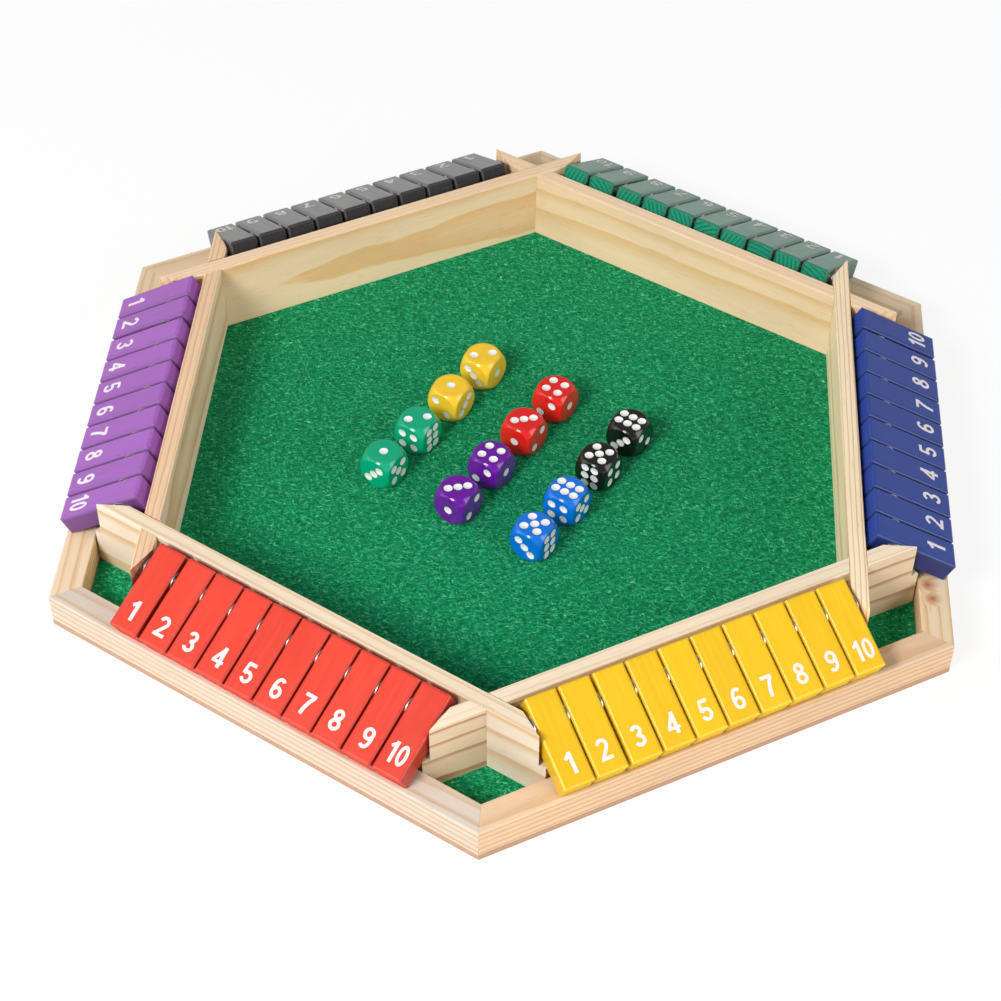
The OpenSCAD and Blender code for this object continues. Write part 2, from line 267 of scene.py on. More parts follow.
world = bpy.data.worlds.new("studio")
bpy.context.scene.world = world
world.use_nodes = True
sky = world.node_tree
sky.nodes.clear()
path = add_node(sky, "LightPath")
fill = add_node(sky, "Background", {"Color": (1.0, 0.99, 0.98, 1), "Strength": FILL_LIGHT})
white = add_node(sky, "Background", {"Color": (1, 1, 1, 1), "Strength": 1.0})
height = apart(sky, add_node(sky, "TexCoord").outputs["Generated"])[2]
low = smooth(sky, height, MIRRORED_ABOVE, MIRRORED_BELOW)
mirrored = math_node(sky, "MULTIPLY", path.outputs["Is Glossy Ray"], low)
through = math_node(sky, "MAXIMUM", mirrored, path.outputs["Is Transmission Ray"])
seen = math_node(sky, "MAXIMUM", path.outputs["Is Camera Ray"], through)
both = add_node(sky, "MixShader", {0: seen, 1: fill.outputs[0], 2: white.outputs[0]})
add_node(sky, "OutputWorld", {"Surface": both.outputs[0]})
print("white surroundings")

# %% [markdown]
# The floor shows white to the camera, but near the board it is partly a real surface, so the board's
# shadow still falls on it. From below it is clear, and the part of it that the board covers glows, so
# the underside shows too. It lies a hair under the board, or the two would fight for the same place.

# %% Floor
FLOOR_HALF, FLOOR_DOWN = 3, -0.0002
GLOW, GLOW_NEAR, GLOW_FAR = 1.03, 0.83, 1.0  # the white glow, and its share near the board and far away
NEAR, FAR = 0.35, 1.1
COVERED = 0.189  # half the width across the flats of the part that the board covers

floor_mesh = bpy.data.meshes.new("floor")
floor_corners = [(x * FLOOR_HALF, y * FLOOR_HALF, FLOOR_DOWN) for x, y in ((-1, -1), (1, -1), (1, 1), (-1, 1))]
floor_mesh.from_pydata(floor_corners, [], [(0, 1, 2, 3)])
floor = bpy.data.objects.new("floor", floor_mesh)
bpy.context.scene.collection.objects.link(floor)

floor_paint, tree, surface = new_material("floor", Base_Color=(0.9, 0.9, 0.9, 1), Roughness=0.9)
spot = object_spot(tree)
away = vector_node(tree, "LENGTH", spot, result="Value")
share = smooth(tree, away, NEAR, FAR, GLOW_NEAR, GLOW_FAR)
share = math_node(tree, "MULTIPLY", add_node(tree, "LightPath").outputs["Is Camera Ray"], share)
glow = add_node(tree, "Emission", {"Color": (1, 1, 1, 1), "Strength": GLOW})
blend = add_node(tree, "MixShader", {0: share, 1: surface.outputs[0], 2: glow.outputs[0]})
across = 0.0
for a in (0, math.pi / 3, math.pi * 2 / 3):
    reach = vector_node(tree, "DOT_PRODUCT", spot, (math.cos(a), math.sin(a), 0), "Value")
    across = math_node(tree, "MAXIMUM", across, math_node(tree, "ABSOLUTE", reach))
covered = math_node(tree, "LESS_THAN", across, COVERED)
under = add_node(tree, "Emission", {"Color": (1, 0.98, 0.96, 1), "Strength": 0.8})
blend = add_node(tree, "MixShader", {0: covered, 1: blend.outputs[0], 2: under.outputs[0]})
clear = add_node(tree, "BsdfTransparent", {"Color": (1, 1, 1, 1)})
from_below = add_node(tree, "NewGeometry").outputs["Backfacing"]
blend = add_node(tree, "MixShader", {0: from_below, 1: blend.outputs[0], 2: clear.outputs[0]})
feed(tree, tree.nodes["Material Output"], Surface=blend.outputs[0])
floor_mesh.materials.append(floor_paint)
print("floor ready")


# %% Lamps
def soft_lamp(name, azimuth, elevation, far, wide, watts, tint):
    """A square soft box that looks at the board's middle from a compass angle and a height angle."""
    lamp = bpy.data.lights.new(name, "AREA")
    lamp.shape, lamp.size, lamp.energy, lamp.color = "SQUARE", wide, watts, tint
    a, e = math.radians(azimuth), math.radians(elevation)
    to = np.array([math.cos(a) * math.cos(e), math.sin(a) * math.cos(e), math.sin(e)])
    side = np.array([-math.sin(a), math.cos(a), 0])
    made = bpy.data.objects.new(name, lamp)
    made.matrix_world = placed_at(side, np.cross(to, side), to, to * far)
    bpy.context.scene.collection.objects.link(made)


soft_lamp("key", 236, 40, 1.7, 0.5, 22, (1, 0.995, 0.985))
soft_lamp("fill_right", 330, 24, 1.9, 1.2, 15, (1, 0.985, 0.96))
soft_lamp("fill_left", 190, 24, 1.9, 1.2, 8, (1, 0.99, 0.97))
bpy.context.scene.view_settings.view_transform = "Standard"
print("three lamps")

# %% [markdown]
# ## Pine
#
# Sawn pine shows its yearly rings: pale spring wood that darkens into a tan line of summer wood and
# then starts again at once. A board is a slice of a trunk, so the pattern is the distance from a
# line, the heart of the tree, that runs beside the board. One solid pattern then draws narrow lines
# on the board's top, broad bands and flames on the wide faces, which are almost level with the rings,
# and arcs on the sawn ends, and all of them meet at the edges. A slow noise bends the rings a little.

# %% Pine from one recipe
CREAM, HONEY = rgb(238, 221, 197), rgb(218, 176, 122)
FLECK, KNOT, SAWN = rgb(178, 124, 74), rgb(176, 104, 56), rgb(168, 92, 52)
# the noises of the wood, each as how fine it is along the board, across it and upwards
BEND, SHIVER, FIBRE, CLOUD = (9, 22, 22), (60, 260, 260), (40, 1600, 1600), (14, 70, 70)
FLECKS, SAW_MARKS = (120, 1500, 1500), (900, 900, 160)


def side_turned(tree, k, what="Object"):
    """Object coordinates or normals turned: x along side k's board, y outwards from the middle, z up."""
    inputs = {"Vector": add_node(tree, "TexCoord").outputs[what], "Angle": math.pi / 2 - side_angle(k)}
    return add_node(tree, "VectorRotate", inputs, rotation_type="Z_AXIS").outputs[0]


def knots_near(tree, knots):
    """How near a point is to a knot, 0 to 1: each knot is (x, y, z, radius) in object coordinates."""
    spot, total = object_spot(tree), 0.0
    for x, y, z, radius in knots:
        far = vector_node(tree, "DISTANCE", spot, (x, y, z), "Value")
        near = math_node(tree, "SUBTRACT", 1.0, math_node(tree, "DIVIDE", far, radius), clamp=True)
        total = math_node(tree, "MAXIMUM", total, near)
    return total


def summer_wood(tree, spot, near, heart, ring, start, slope, drift, width):
    """How much of a point is summer wood, 0 to 1: its distance from the heart counted in rings."""
    x, y, z = apart(tree, spot)
    aside = math_node(tree, "ADD", y, math_node(tree, "MULTIPLY_ADD", x, slope, -heart[0]))
    upward = math_node(tree, "SUBTRACT", z, heart[1])
    radius = vector_node(tree, "LENGTH", together(tree, y=aside, z=upward), result="Value")
    bend = math_node(tree, "MULTIPLY_ADD", noise(tree, spot, BEND), 2 * drift, -drift - start)
    round_knots = math_node(tree, "MULTIPLY", near, 1.2 * ring)
    shiver = math_node(tree, "MULTIPLY_ADD", noise(tree, spot, SHIVER), 0.18 * ring, round_knots)
    bent = math_node(tree, "ADD", radius, math_node(tree, "ADD", bend, shiver))
    phase = math_node(tree, "DIVIDE", bent, ring)
    year = {"W": math_node(tree, "FLOOR", phase)}
    chance = add_node(tree, "TexWhiteNoise", year, noise_dimensions="1D").outputs["Value"]
    share = math_node(tree, "FRACT", phase)
    rise, fall = smooth(tree, share, 1 - width, 0.93), smooth(tree, share, 1.0, 0.94)
    strength = math_node(tree, "MULTIPLY_ADD", chance, 0.3, 0.7)
    return math_node(tree, "MULTIPLY", math_node(tree, "MULTIPLY", rise, fall), strength)


def pine(name, turned, heart, ring, start=0.0, slope=0.0, drift=0.0012, pale=CREAM, line=HONEY,
         width=0.5, cut=0.0, top=0.65, face=(1.0, 0.96, 0.91), knots=(), tint=None):
    """Pine whose rings run round the line through heart = (y, z), a distance ring apart, in metres.

    turned(tree, what) gives the coordinates with x along the board. start shifts the rings, slope tilts
    the heart along the board, and drift is how far a slow noise bends the rings. width is the share of
    a ring that is summer wood. cut darkens the sawn ends, and top is the strength of the rings on the
    narrow top. face is the colour that the wide faces are multiplied by: partly the wood's own tone,
    partly painted light and shade for how the light falls on those faces. tint(tree) may give a
    colour that the wood is multiplied by.
    """
    made, tree, surface = new_material(name, Specular_IOR_Level=0.3)
    spot = turned(tree, "Object")
    near = knots_near(tree, knots)
    facing = [math_node(tree, "ABSOLUTE", n, clamp=True) for n in apart(tree, turned(tree, "Normal"))]
    sawn = math_node(tree, "GREATER_THAN", facing[0], 0.3)
    wide, level = facing[1:]
    summer = summer_wood(tree, spot, near, heart, ring, start, slope, drift, width)
    summer = math_node(tree, "MULTIPLY", summer, math_node(tree, "MULTIPLY_ADD", level, top - 1.0, 1.0))
    colour = mix(tree, summer, pale, line)
    # fine fibres, slow clouds, short dark flecks and knots
    fibre = noise(tree, spot, FIBRE, 3.0)
    cloud = math_node(tree, "MULTIPLY_ADD", noise(tree, spot, CLOUD, 3.0), 0.20, -0.10)
    value = math_node(tree, "ADD", math_node(tree, "MULTIPLY_ADD", fibre, 0.16, 0.92), cloud)
    colour = dimmed(tree, colour, value)
    fleck = math_node(tree, "GREATER_THAN", noise(tree, spot, FLECKS, 1.0), 0.70)
    colour = mix(tree, math_node(tree, "MULTIPLY", fleck, 0.22), colour, FLECK)
    colour = mix(tree, math_node(tree, "POWER", near, 1.3), colour, KNOT)
    # wide faces are multiplied by face, partly their own tone and partly painted light and shade; the sawn ends
    # are rough and darker
    colour = mix(tree, wide, colour, mix(tree, 1.0, colour, (*face, 1), "MULTIPLY"))
    rough = noise(tree, spot, SAW_MARKS, 3.0)
    burnt = math_node(tree, "MULTIPLY_ADD", rough, 0.4, cut - 0.2, clamp=True)
    colour = mix(tree, math_node(tree, "MULTIPLY", sawn, burnt), colour, SAWN)
    if tint:
        colour = mix(tree, 1.0, colour, tint(tree), "MULTIPLY")
    saw_height = math_node(tree, "MULTIPLY", math_node(tree, "MULTIPLY", sawn, rough), 2.0)
    height = math_node(tree, "ADD", math_node(tree, "MULTIPLY", summer, 0.4), saw_height)
    height = math_node(tree, "ADD", math_node(tree, "MULTIPLY", fibre, 0.6), height)
    feed(tree, surface, Base_Color=colour, Normal=relief(tree, height, 0.3, 0.0002),
         Roughness=math_node(tree, "MULTIPLY_ADD", fibre, 0.2, 0.42))
    return made


print("recipe for pine ready")

# %% [markdown]
# Each of the six walls comes from another tree, or from another place in it: some are cut close to
# the heart and show flames, others far from it and show straight lines.

# %% Six walls
# face gives each wall's wide faces their colour: partly the wood's tone, partly painted light and shade for how
# the light falls on them
WALLS = {
    "yellow": dict(heart=(0.235, -0.010), ring=0.0036, start=0.0010, slope=0.010, width=0.32, top=0.3,
                   face=(0.86, 0.82, 0.78), pale=rgb(247, 228, 201), line=rgb(190, 140, 94)),
    "blue": dict(heart=(0.060, 0.030), ring=0.0021, start=0.0004, slope=0.004, width=0.40, top=1.0,
                 pale=rgb(255, 236, 203), line=rgb(222, 174, 118)),
    "green": dict(heart=(0.2520, 0.0006), ring=0.0027, start=0.0014, slope=0.004, drift=0.0009,
                  width=0.62, face=(0.97, 0.93, 0.86), pale=rgb(250, 221, 190), line=rgb(237, 194, 138)),
    "black": dict(heart=(0.2350, 0.0185), ring=0.0022, start=0.00013, slope=0.006, drift=0.0011,
                  width=0.66, pale=rgb(248, 221, 188), line=rgb(236, 186, 126)),
    "purple": dict(heart=(0.2460, 0.0220), ring=0.0026, start=0.0004, slope=0.003, width=0.44, cut=0.75,
                   face=(1.16, 1.26, 1.46), pale=rgb(238, 204, 168), line=rgb(212, 154, 98)),
    "red": dict(heart=(0.070, -0.004), ring=0.0040, start=0.0010, slope=0.006,
                face=(0.90, 0.92, 0.97), pale=rgb(240, 222, 196)),
}
for k, colour_name in enumerate(SIDES):
    turned = lambda tree, what, k=k: side_turned(tree, k, what)
    dress(nodes["wall_" + colour_name], pine("pine_wall_" + colour_name, turned, **WALLS[colour_name]))
print("six walls of pine")

# %% [markdown]
# The rim is one frame of six mitred strips. Its material finds out which strip a point belongs to from
# the compass angle, turns the coordinates to run along that strip, and moves the heart of the tree for
# each, so that the grain changes at every mitre as it does in six separate sticks.

# %% The rim
# each strip's own tone, from strip -3 to strip 3; the first and the last are the same strip
RIM_TONES = [
    (1.0, 0.94, 0.86), (0.80, 0.82, 0.92), (0.93, 0.82, 0.74), (0.98, 0.93, 0.85),
    (1.0, 0.98, 0.93), (1.0, 0.95, 0.90), (1.0, 0.94, 0.86),
]
RIM_KNOTS = [
    (0.1585, -0.1105, 0.0166, 0.007), (-0.165, 0.098, 0.0166, 0.006), (0.183, -0.084, 0.0166, 0.005),
    (0.1815, -0.076, 0.0166, 0.0055), (0.1805, -0.068, 0.0166, 0.005), (0.1780, 0.093, 0.0130, 0.009),
]
STRIP_ALONG = 0.83  # how far apart the strips lie in the tree
STRIP_SWAY = ((2.1, 0.010), (3.7, 0.006))  # how quickly and how far the heart moves from strip to strip


def strip_number(tree):
    """The number of the strip that a point belongs to: its compass angle in steps of 60 degrees."""
    x, y, _ = apart(tree, object_spot(tree))
    angle = math_node(tree, "ARCTAN2", y, x)
    return math_node(tree, "ROUND", math_node(tree, "DIVIDE", angle, math.pi / 3))


def strip_turned(tree, what):
    """Coordinates or normals turned so that x runs along the nearest strip, each strip moved."""
    number = strip_number(tree)
    turn_back = math_node(tree, "MULTIPLY_ADD", number, -math.pi / 3, math.pi / 2)
    inputs = {"Vector": add_node(tree, "TexCoord").outputs[what], "Angle": turn_back}
    turned = add_node(tree, "VectorRotate", inputs, rotation_type="Z_AXIS").outputs[0]
    if what == "Normal":
        return turned
    sway = []
    for rate, size in STRIP_SWAY:
        wave = math_node(tree, "SINE", math_node(tree, "MULTIPLY_ADD", number, rate, 1.0))
        sway.append(math_node(tree, "MULTIPLY", wave, size))
    shift = together(tree, math_node(tree, "MULTIPLY", number, STRIP_ALONG), *sway)
    return vector_node(tree, "ADD", turned, shift)


def strip_tint(tree):
    """Each strip's own tone, as six sticks from different trees differ."""
    count = len(RIM_TONES)
    place = math_node(tree, "MULTIPLY_ADD", strip_number(tree), 1 / count, 0.5)
    return ramp(tree, place, [(i / count, (*tone, 1)) for i, tone in enumerate(RIM_TONES)], "CONSTANT")


rim_pine = pine("pine_rim", strip_turned, (0.172, -0.016), 0.0026, knots=RIM_KNOTS, tint=strip_tint)
dress(nodes["rim_rails"], rim_pine)
panel_pine = pine(
    "panel_edge", lambda tree, what: side_turned(tree, 0, what), (0.0, -0.4), 0.0009, drift=0.0001,
    pale=rgb(196, 160, 134), line=rgb(158, 120, 96),
)
dress(nodes["base_panel"], panel_pine)
print("rim and panel")

# %% [markdown]
# ## Painted tiles
#
# The tiles are small sticks of wood under one coat of satin paint. The paint is thinner on the rounded
# edges, and there it is drawn lighter, partly as worn paint and partly as a painted highlight where the
# edges catch the light. Towards the narrow gaps between the tiles the paint is darkened as painted shade.
# On the sawn ends the rings of the wood show through it. The material turns the coordinates into a
# tile's own, finds the tile's number from its place in the row, and moves the rings by that number.

# %% A tile's own coordinates
PAINT = {
    "yellow": rgb(240, 192, 26),
    "blue": rgb(41, 67, 149),
    "green": rgb(4, 126, 96),
    "black": rgb(40, 37, 39),
    "purple": rgb(163, 98, 188),
    "red": rgb(221, 62, 43),
}


def tile_place(tree, k):
    """A point's coordinates on its tile of side k, the tile's number, and y from the tile's middle."""
    place = {
        "Vector": object_spot(tree), "Location": tuple(tile_frame(k)[0]),
        "Rotation": (0, TILE_LEAN, side_angle(k)),
    }
    local = add_node(tree, "Mapping", place, vector_type="TEXTURE").outputs[0]
    along_rod = apart(tree, local)[1]
    # tiles before and after the row's wider gap have slid by different lengths
    first, last, rest = LOOSE[k]
    gap_at = (last - 5) * TILE_PITCH + (first + rest) / 2
    beyond = math_node(tree, "GREATER_THAN", along_rod, gap_at)
    slid = math_node(tree, "MULTIPLY_ADD", beyond, rest - first, first)
    step = math_node(tree, "DIVIDE", math_node(tree, "SUBTRACT", along_rod, slid), TILE_PITCH)
    number = math_node(tree, "FLOOR", step)
    from_middle = math_node(tree, "SUBTRACT", math_node(tree, "SUBTRACT", step, number), 0.5)
    return local, number, math_node(tree, "MULTIPLY", from_middle, TILE_PITCH)


def nearness(tree, x, y, z, ease):
    """For each direction, 0 on the flat faces and 1 at the tile's border, over the rounding's width."""
    near = []
    middle_x = math_node(tree, "SUBTRACT", x, (TILE_REACH - TILE_HEEL) / 2)
    half_long = (TILE_REACH + TILE_HEEL) / 2
    for value, size in ((middle_x, half_long), (y, TILE_WIDE / 2), (z, TILE_THICK / 2)):
        inner = math_node(tree, "SUBTRACT", math_node(tree, "ABSOLUTE", value), size - ease)
        near.append(math_node(tree, "DIVIDE", inner, ease, clamp=True))
    return near


def tile_rings(tree, x, y, z, own):
    """Rings about each tile's own heart, 0 to 1, in a plane across the tile; own is its chance vector."""
    heart_y = math_node(tree, "MULTIPLY_ADD", own[0], 0.06, -0.03)
    heart_z = math_node(tree, "MULTIPLY_ADD", own[1], 0.03, -0.035)
    spot = together(tree, math_node(tree, "MULTIPLY", x, 0.12), math_node(tree, "SUBTRACT", y, heart_y),
                    math_node(tree, "SUBTRACT", z, heart_z))
    inputs = {"Vector": spot, "Scale": math.pi / 10 / 0.0021, "Distortion": 1.4, "Detail": 2.0,
              "Detail Scale": 0.6}
    return add_node(tree, "TexWave", inputs, wave_type="RINGS", rings_direction="X",
                    wave_profile="SAW").outputs["Fac"]


# %% Tile paint
def scaled(colour, factor, plus=0.0):
    """A colour made brighter or darker, at most 1 a channel."""
    return (*(min(1.0, c * factor + plus) for c in colour[:3]), 1.0)


def tile_paint(name, k, colour, ease, lines, end_lines, grain, gloss, coat, shadow):
    """Satin paint on the tiles of side k.

    lines and end_lines say how much of the wood's rings show on faces and ends, grain how rough the
    face is, gloss and coat how strongly it mirrors, and shadow how much painted shade darkens the paint
    towards the narrow gaps between the tiles.
    """
    made, tree, surface = new_material(name, Coat_Roughness=0.3)
    local, number, y = tile_place(tree, k)
    x, _, z = apart(tree, local)
    dice_roll = {"W": math_node(tree, "ADD", number, 7.3 + 20 * k)}
    chance = add_node(tree, "TexWhiteNoise", dice_roll, noise_dimensions="1D").outputs["Color"]
    own = apart(tree, chance)
    rings = tile_rings(tree, x, y, z, own)
    shifted = vector_node(tree, "ADD", local, chance)
    fibre = noise(tree, shifted, (60, 1100, 1100), 3.0)
    brush = noise(tree, shifted, (45, 300, 300), 3.0)
    near = nearness(tree, x, y, z, ease)
    end = math_node(tree, "GREATER_THAN", near[0], 0.9)
    # the rings show as dark lines, on the ends between fresh lighter wood
    under = mix(tree, math_node(tree, "MULTIPLY", end, end_lines), colour, scaled(colour, 1.5, 0.004))
    dark = mix(tree, end, scaled(colour, 0.55), scaled(colour, 0.36))
    shown = math_node(tree, "MULTIPLY_ADD", end, end_lines - lines, lines)
    ring_lines = math_node(tree, "MULTIPLY", math_node(tree, "POWER", rings, 1.2), shown)
    shade = mix(tree, ring_lines, under, dark)
    # raised fibres are lighter, and every tile has its own tone
    light = scaled(colour, 1.3, 0.03)
    raised = math_node(tree, "MULTIPLY", math_node(tree, "SUBTRACT", fibre, 0.52, clamp=True), grain * 3)
    shade = mix(tree, raised, shade, light)
    tone = math_node(tree, "MULTIPLY_ADD", own[2], 0.10, 0.90)
    shade = dimmed(tree, shade, math_node(tree, "ADD", tone, math_node(tree, "MULTIPLY", brush, 0.10)))
    # the paint is lighter on the rounded edges, where two nearnesses are high at once: partly worn paint, partly
    # a painted highlight
    pairs = [math_node(tree, "MULTIPLY", near[i], near[j]) for i, j in ((0, 1), (1, 2), (0, 2))]
    edge = math_node(tree, "ADD", math_node(tree, "ADD", pairs[0], pairs[1]), pairs[2], clamp=True)
    patchy = math_node(tree, "MULTIPLY_ADD", brush, 1.2, -0.25, clamp=True)
    shade = mix(tree, math_node(tree, "MULTIPLY", edge, patchy), shade, light)
    # painted shade: the paint darkens towards the long sides, into the narrow gaps between the tiles
    gap_shade = math_node(tree, "MULTIPLY_ADD", math_node(tree, "POWER", near[1], 0.7), -shadow, 1.0)
    # the sawn ends drink the paint and stay dull
    rough = math_node(tree, "MULTIPLY_ADD", brush, 0.25, math_node(tree, "MULTIPLY_ADD", end, 0.4, 0.24))
    ring_height = math_node(tree, "MULTIPLY", rings, math_node(tree, "MULTIPLY_ADD", end, 0.7, 0.1))
    height = math_node(tree, "ADD", math_node(tree, "MULTIPLY", fibre, grain * 1.5), ring_height)
    feed(tree, surface, Base_Color=dimmed(tree, shade, gap_shade), Roughness=rough,
         Specular_IOR_Level=math_node(tree, "MULTIPLY_ADD", end, -0.7 * gloss, gloss),
         Coat_Weight=math_node(tree, "MULTIPLY_ADD", end, -coat, coat),
         Normal=relief(tree, height, 0.35, 0.00015))
    return made


FACE_LINES = 0.06
END_LINES = {"green": 0.95, "black": 0.25, "blue": 0.3}
GRAIN_GLOSS_COAT = {"black": (0.9, 1.0, 0.9), "green": (0.5, 0.8, 0.7)}
# how much painted shade darkens each row's paint towards the gaps between its tiles
GAP_SHADOW = {"yellow": 0.15, "red": 0.3}
for k, colour_name in enumerate(SIDES):
    paint = tile_paint(
        "paint_" + colour_name, k, PAINT[colour_name], TILE_EASE.get(colour_name, EASE_USUAL), FACE_LINES,
        END_LINES.get(colour_name, 0.1), *GRAIN_GLOSS_COAT.get(colour_name, (0.35, 0.45, 0.1)),
        GAP_SHADOW.get(colour_name, 0.55),
    )
    for name, node in nodes.items():
        if name.startswith("tile_" + colour_name) or name == "tiles_" + colour_name:
            dress(node, paint)
print("sixty painted tiles")

# %% [markdown]
# ## Numbers
#
# Each tile carries its number in white near its outer end, printed upright for the player who sits at
# that side. A figure is a few strokes of even width: straight lines and parts of ellipses, each drawn
# as a ribbon of quads. The ribbons are then carried onto the tile's face: across the tile, up towards
# the rod, and out of the face by the ink's thickness.


# %% Strokes of the figures
def arc(x, y, wide, tall, start, stop):
    """Points on an ellipse round (x, y), half axes wide and tall, from one angle to another in degrees."""
    angle = np.radians(np.linspace(start, stop, 2 + int(abs(stop - start) / 15)))
    return np.column_stack([x + wide * np.cos(angle), y + tall * np.sin(angle)])


BAR, THIN, BOLD = 0.165, 0.15, 0.185  # widths of the strokes, as shares of a figure's height
BOWL_2 = np.vstack([arc(-0.01, 0.70, 0.20, 0.218, 170, -42), [(-0.13, 0.19), (-0.20, 0.10)]])
FIGURES = {
    "0": [(arc(0, 0.5, 0.20, 0.418, 0, 360), BAR)],
    "1": [([(0.07, 0), (0.07, 1)], BOLD), ([(0.09, 0.93), (-0.19, 0.70)], BAR)],
    "2": [(BOWL_2, BAR), ([(-0.30, 0.08), (0.29, 0.08)], BAR)],
    "3": [(arc(-0.01, 0.735, 0.18, 0.183, 165, -80), BAR), (arc(-0.01, 0.287, 0.205, 0.205, 80, -165), BAR),
          ([(-0.08, 0.52), (0.05, 0.52)], 0.14)],
    "4": [([(0.10, 0), (0.10, 1)], BOLD), ([(0.10, 0.93), (-0.23, 0.33)], THIN),
          ([(-0.31, 0.275), (0.29, 0.275)], THIN)],
    "5": [([(-0.19, 0.92), (0.23, 0.92)], BAR), ([(-0.145, 0.95), (-0.20, 0.44)], THIN),
          (arc(0, 0.31, 0.205, 0.232, 152, -162), BAR)],
    "6": [(arc(0, 0.30, 0.20, 0.222, 0, 360), BAR), (arc(0.03, 0.5, 0.23, 0.418, 50, 195), BAR)],
    "7": [([(-0.28, 0.92), (0.28, 0.92)], BAR), ([(0.20, 0.88), (0.06, 0.64), (-0.04, 0.34), (-0.09, 0)], BOLD)],
    "8": [(arc(0, 0.74, 0.17, 0.18, 0, 360), BAR), (arc(0, 0.287, 0.205, 0.207, 0, 360), BAR)],
}
FIGURES["9"] = [((0, 1) - np.asarray(line) * (1, 1), width) for line, width in FIGURES["6"]]
print(len(FIGURES), "figures from", sum(map(len, FIGURES.values())), "strokes")

# %% From strokes to pieces
INK_TALL, INK_THICK, INK_FOOT = 0.0091, 0.00006, 0.0050  # height, thickness, and foot from the tile's end
INK_LIFT = 0.3  # each stroke of a number lies this much of the ink's thickness above the one before it
SINGLE, PAIR = ((0.0, 1.0),), ((-0.30, 0.86), (0.21, 0.86))  # where the digits stand, and how wide


def ribbon(centre, width):
    """Points and faces of a strip of even width about a line: half the width to each side of every point.

    A closed line takes its neighbours round the join, so its two ends meet.
    """
    centre = np.asarray(centre, float)
    closed = np.allclose(centre[0], centre[-1])
    before = centre[-2] if closed else 2 * centre[0] - centre[1]
    after = centre[1] if closed else 2 * centre[-1] - centre[-2]
    step = np.vstack([centre[1:], after]) - np.vstack([before, centre[:-1]])
    aside = np.column_stack([-step[:, 1], step[:, 0]]) / np.linalg.norm(step, axis=1)[:, None] * width / 2
    n = len(centre)
    quads = [(i, n + i, n + i + 1, i + 1) for i in range(n - 1)]
    return np.concatenate([centre + aside, centre - aside]), quads


def merged(pieces):
    """Several (points, faces) as one, each piece's faces counting on from the points before it."""
    starts = np.cumsum([0] + [len(points) for points, _ in pieces])
    faces = [tuple(int(start) + i for i in face) for start, (_, own) in zip(starts, pieces) for face in own]
    return np.concatenate([points for points, _ in pieces]), faces


def figure(text):
    """The points (across, up, out) and faces of a number, in metres, its middle and its foot at 0."""
    strokes = []
    for (aside, narrow), digit in zip(SINGLE if len(text) == 1 else PAIR, text):
        for line, width in FIGURES[digit]:
            spots, quads = ribbon(np.asarray(line) * (narrow, 1), width * (1 + narrow) / 2)
            lift = np.full((len(spots), 1), INK_THICK * (1 + INK_LIFT * len(strokes)))
            strokes.append((np.hstack([(spots + (aside, 0)) * INK_TALL, lift]), quads))
    return merged(strokes)


def build(name, points, faces, material, body, slot=None, smooth=False):
    """A new piece from arrays of points and faces, that rides on a body."""
    mesh = bpy.data.meshes.new(name)
    mesh.from_pydata([tuple(p) for p in points], [], [tuple(int(i) for i in f) for f in faces])
    mesh.polygons.foreach_set("use_smooth", [smooth] * len(mesh.polygons))
    mesh.materials.append(material)
    mesh.update()
    made = bpy.data.objects.new(name, mesh)
    bpy.context.scene.collection.objects.link(made)
    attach(made, body)
    return made


# %% Printed numbers
INK, INK_MIXED = rgb(246, 240, 241), rgb(246, 238, 240)
PAINT_SHOWS = 0.18  # the share of the paint below that shows through the ink's thin specks
# how much the numbers differ: places across and along the tile in metres, and the lean as a slope
ASIDE_MIDDLE, ASIDE_SWAY, FOOT_SWAY, LEAN_SWAY = 0.0003, 0.0003, 0.0005, 0.03


def ink(name, paint):
    """White print through which a little of the paint below shows, with fine specks."""
    made, tree, surface = new_material(name, Roughness=0.45, Coat_Weight=0.4, Coat_Roughness=0.3)
    speck = noise(tree, object_spot(tree), (1100, 1100, 1100), 3.0)
    tinted = (*((1 - PAINT_SHOWS) * w + PAINT_SHOWS * c for w, c in zip(INK_MIXED[:3], paint[:3])), 1.0)
    feed(tree, surface, Base_Color=ramp(tree, speck, [(0.34, tinted), (0.62, INK)]),
         Normal=relief(tree, speck, 0.2, 0.00005))
    return made


def number_on_tile(k, n, chance):
    """The points and faces of number n on side k's tile; chance is how it differs: aside, foot, lean."""
    middle, along, across, face = tile_frame(k)
    points, faces = figure(str(n))
    first, last, rest = LOOSE[k]
    aside, up, out = points[:, :1], points[:, 1:2], points[:, 2:]
    lean = LEAN_SWAY * chance[2]
    slid = (n - 5.5) * TILE_PITCH + (first if n <= last else rest)
    side = aside - up * lean + slid + ASIDE_MIDDLE + ASIDE_SWAY * chance[0]
    down = TILE_REACH - INK_FOOT + FOOT_SWAY * chance[1] - up - aside * lean
    return middle + across * side + along * down + face * (TILE_THICK / 2 + out), faces


sway = np.random.default_rng(11).uniform(-1, 1, (6, 10, 3))
for k, colour_name in enumerate(SIDES):
    white_print = ink("ink_" + colour_name, PAINT[colour_name])
    row = [number_on_tile(k, n, sway[k, n - 1]) for n in range(1, 11)]
    if colour_name in ("green", "black"):
        build("numbers_" + colour_name, *merged(row), white_print, f"tiles_{colour_name}_row")
    else:
        for n, (points, faces) in enumerate(row, start=1):
            build(f"number_{colour_name}_{n}", points, faces, white_print, f"tile_{colour_name}_{n}_body")
print("sixty numbers")

# %% [markdown]
# ## The cloth
#
# The tray's floor is covered with thin green felt. Felt has no weave: short fibres lie in all
# directions, some paler than the rest, so the sheet is slightly mottled and has a dull, soft surface.
# The sheet here is a fine grid over the hexagon with a slight unevenness in height.

# %% The sheet
FELT_RINGS = 60
FELT_UNEVEN, FELT_SUNK = 0.00008, 0.00005


